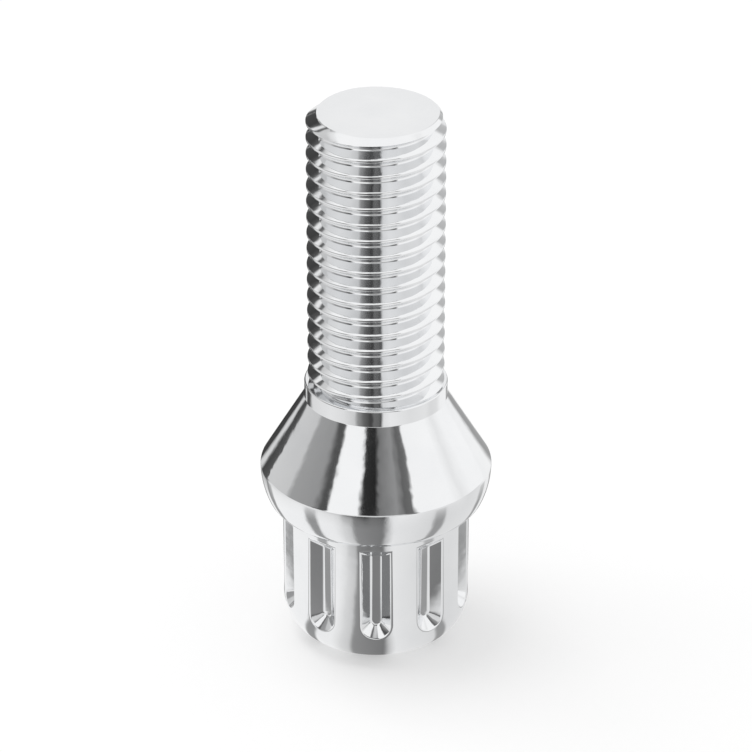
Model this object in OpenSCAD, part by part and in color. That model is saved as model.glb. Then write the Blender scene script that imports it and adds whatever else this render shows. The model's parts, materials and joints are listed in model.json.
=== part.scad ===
// Locking wheel bolt, one forging stood on its head: the splined drive head is
// at the bottom, then the rounded shoulder, the taper seat, the neck and the
// threaded shank. The thread has its true section and pitch but no lead: its
// turns are drawn as rings, so that they stay exact turned faces.
// Millimetres, +Z along the bolt from the head's end to the tip.

/* [Shank] */
// Major diameter of the thread
thread_d = 12; // [10:0.5:14]
// Distance between two turns of the thread
thread_pitch = 1.5; // [1:0.25:2]
// Threaded length, from the neck to the tip
thread_len = 25.5; // [12:0.5:45]
// Diameter of the plain neck under the taper
neck_d = 12.6; // [10:0.1:14.4]
// Length of the plain neck
neck_len = 1.5; // [0.6:0.1:6]
// Chamfer at the tip, the same along the axis and across it
tip_chamfer = 0.6; // [0.2:0.1:1.5]

/* [Taper seat] */
// Included angle of the taper that seats in the wheel
seat_angle = 60; // [50:1:100]
// Diameter across the rim, where the taper is widest
rim_d = 20.5; // [18.5:0.1:24]
// Radius that breaks the edge between the taper and the shoulder
rim_edge_r = 0.5; // [0.3:0.1:0.8]

/* [Shoulder] */
// Length of the rounded shoulder, from the head to the rim
shoulder_len = 3.8; // [3:0.1:6]
// Radius of the shoulder where it rises out of the head
shoulder_foot_r = 1.6; // [1:0.1:2]
// Radius of the long curve that runs on to the rim
shoulder_r = 7; // [6:0.5:9]

/* [Splined head] */
// Diameter over the splines
head_d = 16.6; // [15.5:0.1:17]
// Length of the head, from its flat end to the shoulder
head_len = 13; // [11:0.5:18]
// Radius of the head's rounded end
head_end_r = 3.8; // [2:0.1:4.5]
// Number of splines round the head
spline_count = 10; // [6:1:12]
// Depth of the grooves between the splines
groove_depth = 1.05; // [0.5:0.05:1.4]
// Width of a groove where it opens on the head's surface
groove_w = 3.0; // [2:0.1:3.6]
// Width of a groove across its floor
groove_floor_w = 0.9; // [0.4:0.1:1.6]
// Distance from the head's end to the mouth of the grooves
groove_start = 3.2; // [3:0.1:5]
// Solid rim left between the grooves and the shoulder
groove_stop = 0.7; // [0.4:0.1:2]
// Length of the ramp that brings a groove's floor out before the shoulder
groove_ramp = 0.95; // [0.5:0.05:2]

/* [Hidden] */
$fn = 96;

// Radii of the turned form
thread_r = thread_d / 2;
neck_r = neck_d / 2;
rim_r = rim_d / 2;
head_r = head_d / 2;

// Heights of the turned form, from the head's flat end at zero
rim_z = head_len + shoulder_len;
seat_len = (rim_r - neck_r) / tan(seat_angle / 2);
neck_z = rim_z + seat_len;
thread_z = neck_z + neck_len;
tip_z = thread_z + thread_len;

// The thread's section: flanks at 60 degrees, a crest of an eighth of the pitch
thread_flank = 30;
turn_open_w = thread_pitch * 7 / 8;
turn_depth = thread_pitch * 0.6134;
turn_floor_w = turn_open_w - 2 * turn_depth * tan(thread_flank);
turn_count = floor((thread_len - tip_chamfer) / thread_pitch);
// The first turn starts at the tip's chamfer
first_turn_z = tip_z - tip_chamfer - thread_pitch / 2;

// The edge round is tangent to the taper and to the upright line at the rim
edge_c = [rim_r - rim_edge_r, rim_z];
edge_tangent = [edge_c[0] + rim_edge_r * cos(seat_angle / 2),
                edge_c[1] + rim_edge_r * sin(seat_angle / 2)];
taper_top_r = edge_tangent[0] - (neck_z - edge_tangent[1]) * tan(seat_angle / 2);

// The foot round touches the long curve from inside, on the line of centres
curve_c = [rim_r - shoulder_r, rim_z];
foot_rise = shoulder_len - shoulder_foot_r;
foot_c = [curve_c[0] + sqrt(pow(shoulder_r - shoulder_foot_r, 2) - pow(foot_rise, 2)),
          head_len + shoulder_foot_r];
touch_angle = -asin(foot_rise / (shoulder_r - shoulder_foot_r));
// Steps in which each of the shoulder's curves is drawn
curve_steps = 10;

// The grooves: flat floor, sloping flanks, and a tapered round mouth
groove_floor_r = head_r - groove_depth;
mouth_z = groove_start + groove_w / 2;
stop_z = head_len - groove_stop;
flank = (groove_w - groove_floor_w) / 2 / groove_depth;
// Direction of the first groove, towards the front
first_groove = -90;
// How far a cutter reaches past the surface that it cuts
over = 1;

// Half section of the shank, the neck, the taper and the core under its rim
module shank_section() {
    difference() {
        polygon([
            [0, head_len], [thread_r, head_len], edge_c, edge_tangent, [taper_top_r, neck_z],
            [neck_r, neck_z], [neck_r, thread_z], [thread_r, thread_z],
            [thread_r, tip_z - tip_chamfer], [thread_r - tip_chamfer, tip_z], [0, tip_z]
        ]);
        for (i = [0 : turn_count - 1])
            translate([thread_r, first_turn_z - i * thread_pitch]) turn_section();
    }
}

// Section of the groove between two crests of the thread, about its middle
module turn_section() {
    reach = thread_pitch / 16;
    wide = turn_open_w / 2 + reach * tan(thread_flank);
    polygon([
        [-turn_depth, -turn_floor_w / 2], [reach, -wide],
        [reach, wide], [-turn_depth, turn_floor_w / 2]
    ]);
}

// Points of an arc about a centre, from one angle to another
function arc(centre, r, from, to) =
    [for (i = [0 : curve_steps]) let (a = from + (to - from) * i / curve_steps)
        centre + r * [cos(a), sin(a)]];

// Half section of the rounded shoulder, up to the round on its edge
module shoulder_section() {
    polygon(concat(
        [[0, rim_z], [0, head_len]],
        arc(foot_c, shoulder_foot_r, -90, touch_angle),
        arc(curve_c, shoulder_r, touch_angle, 0)
    ));
    translate(edge_c) circle(r = rim_edge_r);
}

// Half section of the head before its grooves are cut
module head_section() {
    square([head_r - head_end_r, head_len + over]);
    translate([0, head_end_r]) square([head_r, head_len - head_end_r + over / 2]);
    translate([head_r - head_end_r, head_end_r]) circle(r = head_end_r);
}

// The whole turned form of the forging
module turned_form() {
    rotate_extrude() intersection() {
        square([rim_d, tip_z]);
        union() {
            head_section();
            shoulder_section();
            shank_section();
        }
    }
}

// Half width of a groove at a given radius
function half_w(r) = groove_floor_w / 2 + (r - groove_floor_r) * flank;

// Cutter for one groove, on +X: a trapezoid run with a tapered round mouth
module groove_cutter() {
    outer_r = head_r + over;
    translate([0, 0, mouth_z]) {
        linear_extrude(head_len - mouth_z)
            polygon([
                [groove_floor_r, -half_w(groove_floor_r)], [outer_r, -half_w(outer_r)],
                [outer_r, half_w(outer_r)], [groove_floor_r, half_w(groove_floor_r)]
            ]);
        translate([groove_floor_r, 0, 0]) rotate([0, 90, 0])
            cylinder(h = outer_r - groove_floor_r, r1 = half_w(groove_floor_r), r2 = half_w(outer_r));
    }
}

// Solid that stays where the floor ramps out before the shoulder
module groove_ramp() {
    slope = groove_ramp / groove_depth;
    rotate_extrude() polygon([
        [groove_floor_r - over, stop_z - (groove_depth + over) * slope],
        [head_r + 2 * over, stop_z + 2 * over * slope],
        [head_r + 2 * over, head_len + 4 * over],
        [groove_floor_r - over, head_len + 4 * over]
    ]);
}

// The splined head: every groove cut out of the turned form
module wheel_bolt() {
    color("silver") difference() {
        turned_form();
        difference() {
            for (i = [0 : spline_count - 1])
                rotate(first_groove + i * 360 / spline_count) groove_cutter();
            groove_ramp();
        }
    }
}

wheel_bolt();
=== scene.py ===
"""Models a chrome locking wheel bolt, its finish, and a plain pale studio to show it in."""

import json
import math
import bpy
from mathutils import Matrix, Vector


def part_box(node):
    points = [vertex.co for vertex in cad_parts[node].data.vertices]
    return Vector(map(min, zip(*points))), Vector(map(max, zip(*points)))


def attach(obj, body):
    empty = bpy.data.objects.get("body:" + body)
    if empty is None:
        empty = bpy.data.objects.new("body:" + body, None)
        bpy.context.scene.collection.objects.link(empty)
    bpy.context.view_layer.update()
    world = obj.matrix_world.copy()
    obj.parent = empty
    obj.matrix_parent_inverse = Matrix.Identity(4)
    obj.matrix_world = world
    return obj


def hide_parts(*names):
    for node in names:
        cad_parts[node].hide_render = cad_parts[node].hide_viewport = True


bl_info = {
    "name": "Locking Wheel Bolt",
    "version": (1, 0, 0),
    "blender": (4, 5, 0),
    "location": "View3D > Sidebar > Wheel Bolt",
    "description": "Models a splined locking wheel bolt in chrome and a pale studio round it",
    "category": "Object",
}

import bpy
from bpy.props import FloatProperty, FloatVectorProperty, IntProperty, PointerProperty
from mathutils import Vector

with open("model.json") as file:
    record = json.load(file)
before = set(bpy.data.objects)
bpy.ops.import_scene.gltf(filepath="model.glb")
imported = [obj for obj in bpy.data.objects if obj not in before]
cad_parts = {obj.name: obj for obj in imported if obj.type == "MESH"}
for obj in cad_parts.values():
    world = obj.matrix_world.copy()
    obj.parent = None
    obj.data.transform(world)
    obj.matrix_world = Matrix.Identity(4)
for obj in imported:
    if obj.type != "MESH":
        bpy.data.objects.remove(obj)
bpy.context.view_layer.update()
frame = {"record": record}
NODE = "wheel_bolt"
LOW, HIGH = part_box(NODE)
MOUNTS = {mount["name"]: mount for mount in frame["record"]["mounts"]}
MM = 0.001
# Edges sharper than this are rounded, or else keep a crease
SHARP = math.radians(28)
# Faces that meet at less than this are one flat face
FLAT = math.radians(0.5)
# Slope of the thread's flanks against a plane across the bolt
THREAD_FLANK = math.radians(30)
# What lies closer than this is in the same place
SAME = 0.001 * MM
# How far a facet of a turned surface may lie under the true curve, and how close to a
# crease on the head its surface ends
FACET_DEPTH, CREASE_GAP = 0.01 * MM, 0.1 * MM
# Edges shorter than these are slivers that a cut left: on a groove's lip, on its
# floor and on the thread
LIP_SLIVER, FLOOR_SLIVER, THREAD_SLIVER = 0.12 * MM, 0.03 * MM, 0.004 * MM
# Point off the bolt's axes, whose distance puts a mesh's parts in order after a cut
SORT_FROM = (0.0311, 0.0173, 0.0647)
# Facets round a groove's mouth, steps across a rounded edge, and sides of the studio's floor
MOUTH_STEPS, EDGE_STEPS, FLOOR_STEPS = 36, 3, 96


def mount_z(name):
    """Height of a mount's point above the head's end, in metres."""
    return MOUNTS[name]["pos_m"][2]


THREAD_R = MOUNTS["thread"]["dims"]["r_mm"] * MM
THREAD_HALF = MOUNTS["thread"]["dims"]["length_mm"] * MM / 2
THREAD_Z = mount_z("thread") - THREAD_HALF
CHAMFER_Z = mount_z("thread") + THREAD_HALF
TIP_Z = HIGH.z
RIM_Z = mount_z("taper_seat")
RIM_R = HIGH.x


class BoltSizes(bpy.types.PropertyGroup):
    """Sizes of the bolt that the frame doesn't give"""

    head_r: FloatProperty(
        name="Head radius", description="Radius over the splines",
        default=8.3 * MM, unit="LENGTH", precision=5)
    head_len: FloatProperty(
        name="Head length", description="From the head's flat end to the shoulder",
        default=13.0 * MM, unit="LENGTH", precision=5)
    head_end_r: FloatProperty(
        name="Head end round", description="Radius of the head's rounded end",
        default=3.8 * MM, unit="LENGTH", precision=5)
    foot_r: FloatProperty(
        name="Shoulder foot round", description="Radius where the shoulder rises out of the head",
        default=1.6 * MM, unit="LENGTH", precision=5)
    shoulder_r: FloatProperty(
        name="Shoulder curve", description="Radius of the long curve that runs on to the rim",
        default=7.0 * MM, unit="LENGTH", precision=5)
    rim_edge_r: FloatProperty(
        name="Rim edge round", description="Radius between the shoulder and the taper",
        default=0.5 * MM, unit="LENGTH", precision=5)
    neck_r: FloatProperty(
        name="Neck radius", description="Radius of the plain neck under the taper",
        default=6.3 * MM, unit="LENGTH", precision=5)
    seat_angle: FloatProperty(
        name="Seat angle", description="Included angle of the taper seat",
        default=math.radians(60), subtype="ANGLE")
    small_round: FloatProperty(
        name="Small rounds", description="Radius that breaks the turned corners",
        default=0.15 * MM, unit="LENGTH", precision=5)
    groove_count: IntProperty(
        name="Grooves", description="Number of grooves round the head", default=10, min=2)
    groove_depth: FloatProperty(
        name="Groove depth", description="Depth of a groove below the splines",
        default=1.05 * MM, unit="LENGTH", precision=5)
    groove_w: FloatProperty(
        name="Groove width", description="Width of a groove where it opens",
        default=3.0 * MM, unit="LENGTH", precision=5)
    groove_floor_w: FloatProperty(
        name="Groove floor width", description="Width of a groove across its floor",
        default=0.9 * MM, unit="LENGTH", precision=5)
    groove_start: FloatProperty(
        name="Groove start", description="From the head's end to the mouth of a groove",
        default=3.2 * MM, unit="LENGTH", precision=5)
    groove_stop: FloatProperty(
        name="Groove stop", description="Solid rim between the grooves and the shoulder",
        default=0.7 * MM, unit="LENGTH", precision=5)
    groove_ramp: FloatProperty(
        name="Groove ramp", description="Length of the ramp at the end of a groove's floor",
        default=0.95 * MM, unit="LENGTH", precision=5)
    groove_edge: FloatProperty(
        name="Groove edge round", description="Width of the round on the edges of the grooves",
        default=0.16 * MM, unit="LENGTH", precision=5)
    pitch: FloatProperty(
        name="Thread pitch", description="Rise of the thread in one turn",
        default=1.5 * MM, unit="LENGTH", precision=5)
    crest_edge: FloatProperty(
        name="Crest edge round", description="Radius on both edges of the thread's crest",
        default=0.1 * MM, unit="LENGTH", precision=5)
    root_r: FloatProperty(
        name="Root round", description="Radius at the thread's root, as a share of the pitch",
        default=0.1443, precision=4)
    steps: IntProperty(
        name="Steps round", description="Facets in one turn of the bolt", default=120, min=24)
    arc_steps: IntProperty(
        name="Arc steps", description="Steps in a quarter of a round", default=15, min=3)


class ChromeFinish(bpy.types.PropertyGroup):
    """Colours and surface of the chrome plate"""

    bright: FloatVectorProperty(
        name="Bright chrome", description="Colour of the plate where it is cleanest",
        subtype="COLOR", default=(0.93, 0.935, 0.94))
    dull: FloatVectorProperty(
        name="Dull chrome", description="Colour of the plate where it is slightly hazed",
        subtype="COLOR", default=(0.84, 0.85, 0.865))
    gloss: FloatProperty(
        name="Least roughness", description="Roughness of the cleanest plate",
        default=0.035, min=0, max=1)
    haze: FloatProperty(
        name="Most roughness", description="Roughness of the hazed plate",
        default=0.12, min=0, max=1)
    haze_scale: FloatProperty(
        name="Haze scale", description="Patches of haze in a metre", default=260)
    ripple: FloatProperty(
        name="Ripple", description="Height of the forging's slow ripple under the plate",
        default=0.036 * MM, unit="LENGTH", precision=6)
    ripple_scale: FloatProperty(
        name="Ripple scale", description="Waves of the ripple in a metre", default=420)
    pits: FloatProperty(
        name="Pits", description="Depth of the small pits that the plate didn't fill",
        default=0.004 * MM, unit="LENGTH", precision=6)
    pit_scale: FloatProperty(
        name="Pit scale", description="Pits in a metre", default=3200)


class StudioSetup(bpy.types.PropertyGroup):
    """The floor, the light and the camera"""

    floor_colour: FloatVectorProperty(
        name="Floor", description="Colour of the floor",
        subtype="COLOR", default=(0.96, 0.96, 0.96))
    floor_r: FloatProperty(
        name="Floor radius", description="Radius of the round floor", default=8, unit="LENGTH")
    elevation: FloatProperty(
        name="Camera elevation", description="Height of the camera's direction above level",
        default=math.radians(28), subtype="ANGLE")
    distance: FloatProperty(
        name="Camera distance", description="From the camera to the middle of the bolt",
        default=0.34, unit="LENGTH")
    view_height: FloatProperty(
        name="View height", description="Height of the view at the bolt",
        default=0.066, unit="LENGTH", precision=4)
    world_light: FloatProperty(
        name="World light", description="Strength of the even light from all round", default=0.75)
    lamp_power: FloatProperty(
        name="Lamp power", description="Power of the large soft lamp", default=2.5, unit="POWER")
    lamp_size: FloatProperty(
        name="Lamp size", description="Side of the square lamp", default=0.5, unit="LENGTH")
    lamp_place: FloatVectorProperty(
        name="Lamp place", description="Where the lamp hangs, aimed at the bolt's foot",
        subtype="TRANSLATION", default=(-0.25, 0.1, 0.75))


def only(obj):
    """Selects the object and nothing else, and makes it active."""
    bpy.ops.object.select_all(action="DESELECT")
    obj.select_set(True)
    bpy.context.view_layer.objects.active = obj


def edit(obj, kind="VERT"):
    """Opens the object in edit mode with nothing selected."""
    only(obj)
    bpy.ops.object.mode_set(mode="EDIT")
    bpy.ops.mesh.select_mode(type=kind)
    bpy.ops.mesh.select_all(action="DESELECT")


def leave():
    """Closes edit mode."""
    bpy.ops.object.mode_set(mode="OBJECT")


def pick(obj, test):
    """Selects the vertices whose place passes the test, and nothing else, in edit mode."""
    bpy.ops.mesh.select_all(action="DESELECT")
    bpy.ops.object.mode_set(mode="OBJECT")
    for vertex in obj.data.vertices:
        vertex.select = test(vertex.co)
    bpy.ops.object.mode_set(mode="EDIT")


def apply_modifier(obj, kind, **settings):
    """Adds a modifier to the object with these settings and applies it."""
    only(obj)
    bpy.ops.object.modifier_add(type=kind)
    modifier = obj.modifiers[-1]
    for name, value in settings.items():
        setattr(modifier, name, value)
    bpy.ops.object.modifier_apply(modifier=modifier.name)


def round_corners(corners, steps):
    """Points of a profile whose corners, each (r, z, radius), are rounded by arcs."""
    points = []
    for index, (x, y, radius) in enumerate(corners):
        here = Vector((x, y))
        if radius == 0:
            points.append(here)
            continue
        before = (Vector(corners[index - 1][:2]) - here).normalized()
        after = (Vector(corners[index + 1][:2]) - here).normalized()
        half = before.angle(after) / 2
        centre = here + (before + after).normalized() * (radius / math.sin(half))
        start = here + before * (radius / math.tan(half)) - centre
        sweep = (math.pi - 2 * half) * (1 if before.cross(after) < 0 else -1)
        count = max(2, math.ceil(steps * abs(sweep) / (math.pi / 2)))
        for step in range(count + 1):
            angle = sweep * step / count
            turned = Vector((
                start.x * math.cos(angle) - start.y * math.sin(angle),
                start.x * math.sin(angle) + start.y * math.cos(angle)))
            points.append(centre + turned)
    return points


def arc_points(centre, radius, start, end, steps):
    """Points of an arc about a centre, from one angle to another."""
    angles = [start + (end - start) * step / steps for step in range(steps + 1)]
    return [centre + radius * Vector((math.cos(a), math.sin(a))) for a in angles]


def bolt_profile(sizes):
    """Half section of the turned blank, from the head's end up to the thread, as (r, z)."""
    head = round_corners([
        (0, 0, 0), (sizes.head_r, 0, sizes.head_end_r), (sizes.head_r, sizes.head_len, 0)],
        sizes.arc_steps)[:-1]
    curve_c = Vector((RIM_R - sizes.shoulder_r, RIM_Z))
    reach = sizes.shoulder_r - sizes.foot_r
    rise = RIM_Z - sizes.head_len - sizes.foot_r
    foot_c = curve_c + Vector((math.sqrt(reach ** 2 - rise ** 2), -rise))
    touch = -math.asin(rise / reach)
    leave_angle = -math.acos((sizes.head_r - foot_c.x) / sizes.foot_r)
    foot = arc_points(foot_c, sizes.foot_r, leave_angle, touch, sizes.arc_steps)
    curve = arc_points(curve_c, sizes.shoulder_r, touch, 0, sizes.arc_steps)[1:-1]
    edge_c = Vector((RIM_R - sizes.rim_edge_r, RIM_Z))
    edge = arc_points(edge_c, sizes.rim_edge_r, 0, sizes.seat_angle / 2, sizes.arc_steps // 2)
    neck_z = RIM_Z + (RIM_R - sizes.neck_r) / math.tan(sizes.seat_angle / 2)
    neck = round_corners([
        (edge[-1].x, edge[-1].y, 0), (sizes.neck_r, neck_z, sizes.small_round),
        (sizes.neck_r, THREAD_Z, sizes.small_round), (0, THREAD_Z, 0)], sizes.arc_steps)[1:]
    return head + foot + curve + edge + neck


def draw_profile(name, points):
    """A new mesh of one open line through the points, each (r, z), drawn at the front."""
    bpy.ops.object.select_all(action="DESELECT")
    bpy.ops.mesh.primitive_plane_add(size=MM)
    obj = bpy.context.object
    obj.name = name
    bpy.ops.object.mode_set(mode="EDIT")
    bpy.ops.mesh.merge(type="CENTER")
    bpy.ops.mesh.select_mode(type="VERT")
    bpy.ops.mesh.select_all(action="SELECT")
    bpy.ops.transform.translate(value=(points[0].x, 0, points[0].y))
    here = points[0]
    for point in points[1:]:
        step = point - here
        bpy.ops.mesh.extrude_vertices_move(TRANSFORM_OT_translate={"value": (step.x, 0, step.y)})
        here = point
    leave()
    return obj


def turn(name, points, sizes):
    """A closed solid, made by spinning the line through the points round the bolt's axis."""
    solid = draw_profile(name, points)
    edit(solid)
    bpy.ops.mesh.select_all(action="SELECT")
    bpy.ops.mesh.spin(steps=sizes.steps, angle=2 * math.pi, center=(0, 0, 0), axis=(0, 0, 1))
    bpy.ops.mesh.select_all(action="SELECT")
    bpy.ops.mesh.remove_doubles(threshold=2 * SAME)
    bpy.ops.mesh.normals_make_consistent(inside=False)
    leave()
    return solid


def groove_cutters(sizes):
    """One cutter for each groove: a tapered round mouth, extruded along the bolt."""
    over = MM
    floor_r = sizes.head_r - sizes.groove_depth
    flank = (sizes.groove_w - sizes.groove_floor_w) / 2 / sizes.groove_depth
    inner_w = sizes.groove_floor_w / 2
    depth = sizes.groove_depth + over
    mouth_z = sizes.groove_start + sizes.groove_w / 2
    stop_z = sizes.head_len - sizes.groove_stop
    slope = sizes.groove_ramp / sizes.groove_depth
    bpy.ops.object.select_all(action="DESELECT")
    bpy.ops.mesh.primitive_cone_add(
        vertices=MOUTH_STEPS, radius1=inner_w, radius2=inner_w + depth * flank, depth=depth,
        location=(0, -(floor_r + depth / 2), mouth_z), rotation=(math.radians(90), 0, 0))
    cutter = bpy.context.object
    cutter.name = "groove_cutters"
    bpy.ops.object.transform_apply(location=True, rotation=True, scale=True)
    edit(cutter)
    bpy.ops.mesh.select_all(action="SELECT")
    bpy.ops.mesh.bisect(
        plane_co=(0, 0, mouth_z), plane_no=(0, 0, 1), clear_outer=True, threshold=SAME / 10)
    pick(cutter, lambda co: co.z > mouth_z - SAME)
    bpy.ops.mesh.edge_face_add()
    bpy.ops.mesh.extrude_region_move(
        TRANSFORM_OT_translate={"value": (0, 0, stop_z - sizes.groove_ramp - mouth_z)})
    pick(cutter, lambda co: co.z > mouth_z + MM and -co.y > floor_r + depth / 2)
    bpy.ops.transform.translate(value=(0, 0, depth * slope))
    bpy.ops.mesh.select_all(action="SELECT")
    bpy.ops.mesh.normals_make_consistent(inside=False)
    share = (sizes.groove_count - 1) / sizes.groove_count
    bpy.ops.mesh.spin(
        steps=sizes.groove_count - 1, dupli=True, angle=2 * math.pi * share,
        center=(0, 0, 0), axis=(0, 0, 1))
    leave()
    return cutter


def threaded_rod(sizes):
    """The shank: the section of one turn swept up past the tip, then cut to the tip's form."""
    pitch = sizes.pitch
    crest_half = pitch / 16
    depth = (pitch / 2 - crest_half) / math.tan(THREAD_FLANK)
    low = THREAD_Z - pitch
    turns = math.ceil((TIP_Z - low) / pitch) + 1
    section = round_corners([
        (THREAD_R, low, 0), (THREAD_R, low + crest_half, sizes.crest_edge),
        (THREAD_R - depth, low + pitch / 2, sizes.root_r * pitch),
        (THREAD_R, low + pitch - crest_half, sizes.crest_edge), (THREAD_R, low + pitch, 0)],
        sizes.arc_steps // 3)
    rod = draw_profile("threaded_rod", section)
    apply_modifier(
        rod, "SCREW", angle=2 * math.pi, screw_offset=pitch, iterations=turns,
        steps=sizes.steps, render_steps=sizes.steps, axis="Z", use_merge_vertices=False,
        use_smooth_shade=False)
    edit(rod)
    bpy.ops.mesh.select_all(action="SELECT")
    bpy.ops.mesh.remove_doubles(threshold=SAME)
    bpy.ops.mesh.select_all(action="DESELECT")
    bpy.ops.mesh.select_non_manifold()
    bpy.ops.mesh.fill_holes(sides=0)
    bpy.ops.mesh.select_all(action="SELECT")
    bpy.ops.mesh.normals_make_consistent(inside=False)
    leave()
    over = pitch / 4
    tip = round_corners([
        (0, low + pitch / 2, 0), (THREAD_R + over, low + pitch / 2, 0),
        (THREAD_R + over, CHAMFER_Z - over, 0),
        (THREAD_R - (TIP_Z - CHAMFER_Z), TIP_Z, sizes.small_round), (0, TIP_Z, 0)],
        sizes.arc_steps)
    combine(rod, turn("tip_form", tip, sizes), "INTERSECT")
    return rod


def remove(obj):
    """Deletes a helper object that has done its work."""
    only(obj)
    bpy.ops.object.delete()


def settle(obj):
    """Puts the mesh's parts in one fixed order, which merging and bevelling depend on."""
    edit(obj)
    bpy.ops.mesh.select_all(action="SELECT")
    cursor = bpy.context.scene.cursor
    cursor.location = SORT_FROM
    bpy.ops.mesh.sort_elements(type="CURSOR_DISTANCE", elements={"VERT", "EDGE", "FACE"})
    cursor.location = (0, 0, 0)
    leave()


def combine(obj, other, operation):
    """Cuts the other solid from the object, joins it or keeps what both share."""
    apply_modifier(obj, "BOOLEAN", operation=operation, solver="EXACT", object=other)
    remove(other)
    settle(obj)


def drop_slivers(obj, size, test):
    """Merges the chosen vertices that lie closer than the size, as a cut leaves them."""
    edit(obj)
    pick(obj, test)
    bpy.ops.mesh.remove_doubles(threshold=size)
    leave()


def join_flat(obj, z):
    """Makes one face of all the coplanar faces that lie at this height."""
    edit(obj)
    pick(obj, lambda co: abs(co.z - z) < SAME)
    bpy.ops.mesh.dissolve_limited(angle_limit=FLAT)
    leave()


def round_edges(obj, low, high, width):
    """Rounds the sharp edges of the object that lie between two heights."""
    edit(obj, "EDGE")
    bpy.ops.mesh.edges_select_sharp(sharpness=SHARP)
    leave()
    vertices = obj.data.vertices
    for edge in obj.data.edges:
        inside = all(low < vertices[v].co.z < high for v in edge.vertices)
        edge.select = edge.select and inside
    bpy.ops.object.mode_set(mode="EDIT")
    bpy.ops.mesh.bevel(
        offset=width, segments=EDGE_STEPS, profile=0.5, clamp_overlap=False, loop_slide=False)
    leave()


def on_land(sizes, point):
    """Whether the point lies on the turned surface that the grooves leave on the head."""
    corner = Vector((sizes.head_r - sizes.head_end_r, sizes.head_end_r))
    away = Vector((point.xy.length, point.z)) - corner
    depth = sizes.head_end_r - (away.x if away.y > 0 else away.length)
    return depth < FACET_DEPTH < point.z < sizes.head_len - CREASE_GAP


def keep_normals(obj, form, test):
    """Gives the chosen vertices the smooth normals of the form that the object was cut from."""
    only(form)
    bpy.ops.object.shade_smooth_by_angle(angle=SHARP)
    edit(obj)
    pick(obj, test)
    bpy.ops.object.vertex_group_add()
    bpy.ops.object.vertex_group_assign()
    leave()
    apply_modifier(
        obj, "DATA_TRANSFER", object=form, use_loop_data=True, data_types_loops={"CUSTOM_NORMAL"},
        loop_mapping="POLYINTERP_NEAREST", vertex_group=obj.vertex_groups.active.name)
    bpy.ops.object.vertex_group_remove(all=True)
    remove(form)


class OBJECT_OT_lock_bolt(bpy.types.Operator):
    """Model the bolt: turned blank, splined head, thread, and rounded edges"""

    bl_idname = "object.lock_bolt"
    bl_label = "Locking Bolt"
    bl_options = {"REGISTER", "UNDO"}

    def execute(self, context):
        sizes = context.scene.bolt_sizes
        bolt = turn("locking_bolt", bolt_profile(sizes), sizes)
        combine(bolt, groove_cutters(sizes), "DIFFERENCE")
        low, high = sizes.groove_start / 2, sizes.head_len - sizes.groove_stop / 2
        mid_r = sizes.head_r - sizes.groove_depth / 2
        drop_slivers(bolt, LIP_SLIVER, lambda co: low < co.z < high and co.xy.length > mid_r)
        drop_slivers(bolt, FLOOR_SLIVER, lambda co: low < co.z < high and co.xy.length < mid_r)
        round_edges(bolt, low, high, sizes.groove_edge)
        combine(bolt, threaded_rod(sizes), "UNION")
        drop_slivers(bolt, THREAD_SLIVER, lambda co: co.z > THREAD_Z)
        for flat_z in (0, TIP_Z):
            join_flat(bolt, flat_z)
        only(bolt)
        bpy.ops.object.shade_smooth_by_angle(angle=SHARP)
        apply_modifier(bolt, "WEIGHTED_NORMAL", keep_sharp=True, weight=50)
        blank = turn("turned_blank", bolt_profile(sizes), sizes)
        keep_normals(bolt, blank, lambda co: on_land(sizes, co))
        bolt.data.materials.clear()
        bolt.data.materials.append(chrome(context.scene.chrome_finish))
        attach(bolt, "root")
        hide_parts(NODE)
        return {"FINISHED"}


WHITE = (1, 1, 1, 1)
# Gap that keeps the floor's face clear of the bolt's flat end
FLOOR_GAP = 0.01 * MM
# Nearest and farthest that the camera sees
CAMERA_REACH = (0.01, 50)
# Parts of the haze pattern's range over which the plate turns dull, and over which it is pitted
HAZED, PITTED = (0.35, 0.75), (0.52, 0.66)
# Painted reflection: sectors that only the chrome shows, each (share of a turn, tone): those of
# the floor, of the floor close to the bolt, and of the sky
FLOOR_REFLECTION_BANDS = [
    (0.00, 0.90), (0.03, 0.90), (0.04, 0.04), (0.09, 0.06), (0.10, 0.70), (0.11, 0.70),
    (0.12, 0.06), (0.155, 0.10), (0.18, 0.76), (0.30, 0.86), (0.36, 0.80), (0.41, 0.66),
    (0.425, 0.30), (0.45, 0.14), (0.478, 0.05), (0.49, 0.16), (0.508, 0.14), (0.52, 0.08),
    (0.53, 0.80), (0.56, 0.90), (0.65, 0.80), (0.72, 0.84), (0.76, 0.76), (0.80, 0.80),
    (0.83, 0.96), (0.89, 0.97), (0.91, 0.35), (0.94, 0.40), (0.95, 0.90), (1.00, 0.90)]
NEAR_REFLECTION_BANDS = [
    (0.00, 0.92), (0.06, 0.92), (0.075, 0.30), (0.105, 0.32), (0.12, 0.92), (0.145, 0.92),
    (0.155, 0.34), (0.18, 0.34), (0.19, 0.96), (0.31, 0.96), (0.322, 0.32), (0.345, 0.32),
    (0.355, 0.94), (0.395, 0.92), (0.437, 0.62), (0.45, 0.28), (0.518, 0.20), (0.527, 0.56),
    (0.545, 0.86), (0.645, 0.74), (0.655, 0.34), (0.675, 0.34), (0.685, 0.76), (0.81, 0.80),
    (0.82, 0.36), (0.84, 0.36), (0.85, 0.88), (0.88, 0.88), (0.89, 0.30), (0.915, 0.30),
    (0.93, 0.90), (1.00, 0.92)]
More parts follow.
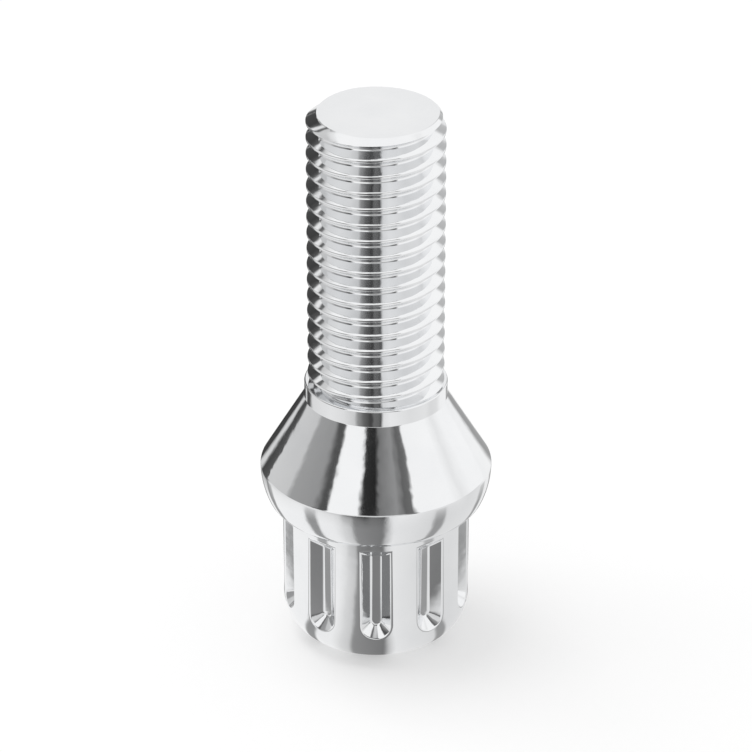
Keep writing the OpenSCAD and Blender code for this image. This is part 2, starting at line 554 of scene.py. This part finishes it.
SKY_REFLECTION_BANDS = [
    (0.00, 0.92), (0.04, 0.92), (0.05, 0.07), (0.095, 0.05), (0.113, 0.10), (0.12, 0.88),
    (0.128, 0.88), (0.133, 0.12), (0.143, 0.14), (0.149, 0.66), (0.235, 0.60), (0.25, 0.36),
    (0.32, 0.32), (0.342, 0.09), (0.362, 0.08), (0.37, 1.00), (0.45, 1.00), (0.458, 0.03),
    (0.498, 0.02), (0.507, 0.18), (0.56, 0.30), (0.585, 0.13), (0.602, 0.16), (0.612, 0.98),
    (0.72, 1.00), (0.75, 0.87), (0.79, 1.00), (0.89, 1.00), (0.90, 0.50), (0.925, 0.55),
    (0.94, 0.92), (1.00, 0.92)]
# How unevenly the painted reflection sectors' edges run, and where the bolt stands among them
BAND_WANDER, BAND_SCALE, BAND_SHIFT = 0.07, 7, (0.035, -0.035, 0)
# Distances from the bolt over which the near painted reflection sectors give way to the floor's
NEAR_TO_FAR = (0.024, 0.045)
# Distances from the bolt over which the floor's shade fades out, and how white it is at both
SHADE_FADE, SHADE_WHITE = (0.08, 0.5), (0.4, 1.0)
# In the painted reflection the sky is one pale tone low down in front: limits of a direction's
# height and depth over which that tone comes in, how much of it, and the tone
SKIRT_HEIGHT, SKIRT_FRONT = (0.46, 0.38), (-0.8, -0.9)
SKIRT_SHARE, SKIRT_TONE = 0.8, 0.86
# Heights of a direction over which the painted reflection of the sky turns to a white roof
ROOF_HEIGHT = (0.66, 0.80)


def add(tree, kind, inputs=None, **settings):
    """Adds a node, sets its inputs to values or to other nodes' outputs, and gives its outputs."""
    node = tree.nodes.new(kind)
    for name, value in settings.items():
        setattr(node, name, value)
    for name, value in (inputs or {}).items():
        if isinstance(value, bpy.types.NodeSocket):
            tree.links.new(value, node.inputs[name])
        else:
            node.inputs[name].default_value = value
    return node.outputs


def noise(tree, place, scale, detail=2):
    """An uneven pattern, as both a number and a colour."""
    inputs = {"Vector": place, "Scale": scale, "Detail": detail}
    return add(tree, "ShaderNodeTexNoise", inputs)


def ramped(tree, value, limits, results=(0, 1)):
    """Goes from one result to the other as the value goes from one limit to the other."""
    return add(tree, "ShaderNodeMapRange", {
        "Value": value, "From Min": limits[0], "From Max": limits[1],
        "To Min": results[0], "To Max": results[1]})["Result"]


def mixed(tree, share, first, second, kind="RGBA"):
    """Blends two colours, or two vectors."""
    inputs = {"Factor": share, "A": first, "B": second}
    return add(tree, "ShaderNodeMix", inputs, data_type=kind)["Result"]


def chosen(tree, share, first, second):
    """Blends two shaders, or picks one of them for a kind of ray."""
    return add(tree, "ShaderNodeMixShader", {"Fac": share, 1: first, 2: second})["Shader"]


def bump(tree, height, distance, more=None):
    """Bends the normal by a height pattern."""
    inputs = {"Height": height, "Distance": distance, **(more or {})}
    return add(tree, "ShaderNodeBump", inputs)["Normal"]


def chrome(finish):
    """Mirror chrome plate with a slow ripple, patches of fine pits and slight haze."""
    material = bpy.data.materials.new("chrome_plate")
    material.use_nodes = True
    tree = material.node_tree
    shader = tree.nodes["Principled BSDF"].inputs
    place = add(tree, "ShaderNodeTexCoord")["Object"]
    haze = noise(tree, place, finish.haze_scale, detail=5)["Fac"]
    ripple = noise(tree, place, finish.ripple_scale)["Fac"]
    pits = noise(tree, place, finish.pit_scale)["Fac"]
    rippled = bump(tree, ripple, finish.ripple)
    pitted = bump(
        tree, pits, finish.pits, {"Strength": ramped(tree, haze, PITTED), "Normal": rippled})
    shader["Metallic"].default_value = 1.0
    colour = mixed(tree, haze, (*finish.bright, 1), (*finish.dull, 1))
    tree.links.new(colour, shader["Base Color"])
    tree.links.new(ramped(tree, haze, HAZED, (finish.gloss, finish.haze)), shader["Roughness"])
    tree.links.new(pitted, shader["Normal"])
    return material


def painted_reflection_bands(tree, direction, bands):
    """Painted reflection: colour of light and dark sectors round the upright axis, in place of a
    studio's cards.
    """
    direction = add(tree, "ShaderNodeVectorMath", {0: direction}, operation="NORMALIZE")["Vector"]
    wander = noise(tree, direction, BAND_SCALE, detail=4)["Color"]
    uneven = mixed(tree, BAND_WANDER, direction, wander, "VECTOR")
    turned = add(tree, "ShaderNodeMapping", {
        "Vector": uneven, "Location": BAND_SHIFT, "Rotation": (0, 0, math.radians(90))})["Vector"]
    around = add(tree, "ShaderNodeTexGradient", {"Vector": turned}, gradient_type="RADIAL")["Fac"]
    colour = add(tree, "ShaderNodeValToRGB", {"Fac": around})["Color"]
    stops = colour.node.color_ramp.elements
    for stop, (position, tone) in zip(stops, (bands[0], bands[-1])):
        stop.position, stop.color = position, (tone, tone, tone, 1)
    for position, tone in bands[1:-1]:
        stops.new(position).color = (tone, tone, tone, 1)
    return colour


def floor_material(setup):
    """Pale floor that keeps the shadow, and glows in painted reflection bands that only the chrome
    shows.
    """
    material = bpy.data.materials.new("pale_floor")
    material.use_nodes = True
    tree = material.node_tree
    tree.nodes.remove(tree.nodes["Principled BSDF"])
    place = add(tree, "ShaderNodeTexCoord")["Object"]
    distance = add(tree, "ShaderNodeVectorMath", {0: place}, operation="LENGTH")["Value"]
    ray = add(tree, "ShaderNodeLightPath")
    matt = add(tree, "ShaderNodeBsdfDiffuse", {"Color": (*setup.floor_colour, 1)})["BSDF"]
    glow = add(tree, "ShaderNodeEmission", {"Color": WHITE})["Emission"]
    pale = chosen(tree, ramped(tree, distance, SHADE_FADE, SHADE_WHITE), matt, glow)
    bands = mixed(
        tree, ramped(tree, distance, NEAR_TO_FAR),
        painted_reflection_bands(tree, place, NEAR_REFLECTION_BANDS), painted_reflection_bands(tree, place, FLOOR_REFLECTION_BANDS))
    # Painted reflection: for glossy rays the floor glows in these band tones instead of showing
    # its own white
    reflected = add(tree, "ShaderNodeEmission", {"Color": bands})["Emission"]
    seen = chosen(tree, ray["Is Camera Ray"], matt, pale)
    tree.links.new(
        chosen(tree, ray["Is Glossy Ray"], seen, reflected),
        tree.nodes["Material Output"].inputs["Surface"])
    return material


def light_world(setup):
    """White background, an even light, and a painted reflection of a banded sky that only glossy
    rays see.
    """
    world = bpy.data.worlds.new("studio")
    bpy.context.scene.world = world
    world.use_nodes = True
    tree = world.node_tree
    tree.nodes.remove(tree.nodes["Background"])
    place = add(tree, "ShaderNodeTexCoord")["Generated"]
    axes = add(tree, "ShaderNodeSeparateXYZ", {"Vector": place})
    low = ramped(tree, axes["Z"], SKIRT_HEIGHT, (0, SKIRT_SHARE))
    front = ramped(tree, axes["Y"], SKIRT_FRONT)
    low_front = add(tree, "ShaderNodeMath", {0: low, 1: front}, operation="MULTIPLY")["Value"]
    skirt = (SKIRT_TONE, SKIRT_TONE, SKIRT_TONE, 1)
    # Painted reflection: these sky tones reach glossy rays only, so only the chrome shows them
    tones = mixed(tree, low_front, painted_reflection_bands(tree, place, SKY_REFLECTION_BANDS), skirt)
    tones = mixed(tree, ramped(tree, axes["Z"], ROOF_HEIGHT), tones, WHITE)
    even, reflected, seen = (
        add(tree, "ShaderNodeBackground", {"Color": colour, "Strength": strength})["Background"]
        for colour, strength in ((WHITE, setup.world_light), (tones, 1), (WHITE, 1)))
    ray = add(tree, "ShaderNodeLightPath")
    lit = chosen(tree, ray["Is Glossy Ray"], even, reflected)
    tree.links.new(
        chosen(tree, ray["Is Camera Ray"], lit, seen),
        tree.nodes["World Output"].inputs["Surface"])


def add_lamp(setup):
    """Large soft lamp, which the chrome doesn't reflect."""
    data = bpy.data.lights.new("soft_lamp", "AREA")
    data.size = setup.lamp_size
    data.energy = setup.lamp_power
    lamp = bpy.data.objects.new("soft_lamp", data)
    bpy.context.scene.collection.objects.link(lamp)
    lamp.visible_glossy = False
    lamp.location = setup.lamp_place
    lamp.rotation_euler = (-lamp.location).to_track_quat("-Z", "Y").to_euler()


def add_camera(setup):
    """Camera at the photograph's angle to the bolt, level and without depth of field."""
    middle = Vector((0, 0, (LOW.z + HIGH.z) / 2))
    away = Vector((0, -math.cos(setup.elevation), math.sin(setup.elevation)))
    data = bpy.data.cameras.new("camera")
    camera = bpy.data.objects.new("camera", data)
    bpy.context.scene.collection.objects.link(camera)
    camera.location = middle + away * setup.distance
    camera.rotation_euler = (math.pi / 2 - setup.elevation, 0, 0)
    data.lens = data.sensor_width * setup.distance / setup.view_height
    data.clip_start, data.clip_end = CAMERA_REACH
    bpy.context.scene.camera = camera


class OBJECT_OT_bolt_studio(bpy.types.Operator):
    """Add the pale floor, the soft light and the camera"""

    bl_idname = "object.bolt_studio"
    bl_label = "Studio"
    bl_options = {"REGISTER", "UNDO"}

    def execute(self, context):
        setup = context.scene.studio_setup
        bpy.ops.object.select_all(action="DESELECT")
        bpy.ops.mesh.primitive_circle_add(
            vertices=FLOOR_STEPS, radius=setup.floor_r, fill_type="NGON")
        floor = context.object
        floor.name = "floor"
        floor.location.z = -FLOOR_GAP
        floor.data.materials.append(floor_material(setup))
        light_world(setup)
        add_lamp(setup)
        add_camera(setup)
        context.scene.view_settings.view_transform = "Standard"
        return {"FINISHED"}


class VIEW3D_PT_wheel_bolt(bpy.types.Panel):
    """Buttons and sizes of the bolt and its studio"""

    bl_label = "Locking Wheel Bolt"
    bl_idname = "VIEW3D_PT_wheel_bolt"
    bl_space_type = "VIEW_3D"
    bl_region_type = "UI"
    bl_category = "Wheel Bolt"

    def draw(self, context):
        layout = self.layout
        for operator in OPERATORS:
            layout.operator(operator.bl_idname)
        for group_name, group in GROUPS.items():
            column = layout.column(align=True)
            for name in group.__annotations__:
                column.prop(getattr(context.scene, group_name), name)


GROUPS = {"bolt_sizes": BoltSizes, "chrome_finish": ChromeFinish, "studio_setup": StudioSetup}
OPERATORS = (OBJECT_OT_lock_bolt, OBJECT_OT_bolt_studio)


def register():
    """Registers the classes and hangs the property groups on the scene."""
    for cls in (*GROUPS.values(), *OPERATORS, VIEW3D_PT_wheel_bolt):
        bpy.utils.register_class(cls)
    for name, group in GROUPS.items():
        setattr(bpy.types.Scene, name, PointerProperty(type=group))


def unregister():
    """Takes the property groups off the scene and unregisters the classes."""
    for name in GROUPS:
        delattr(bpy.types.Scene, name)
    for cls in reversed((*GROUPS.values(), *OPERATORS, VIEW3D_PT_wheel_bolt)):
        bpy.utils.unregister_class(cls)


def main():
    """Builds the whole scene."""
    register()
    bpy.ops.object.bolt_studio()
    bpy.ops.object.lock_bolt()


if __name__ == "__main__":
    main()
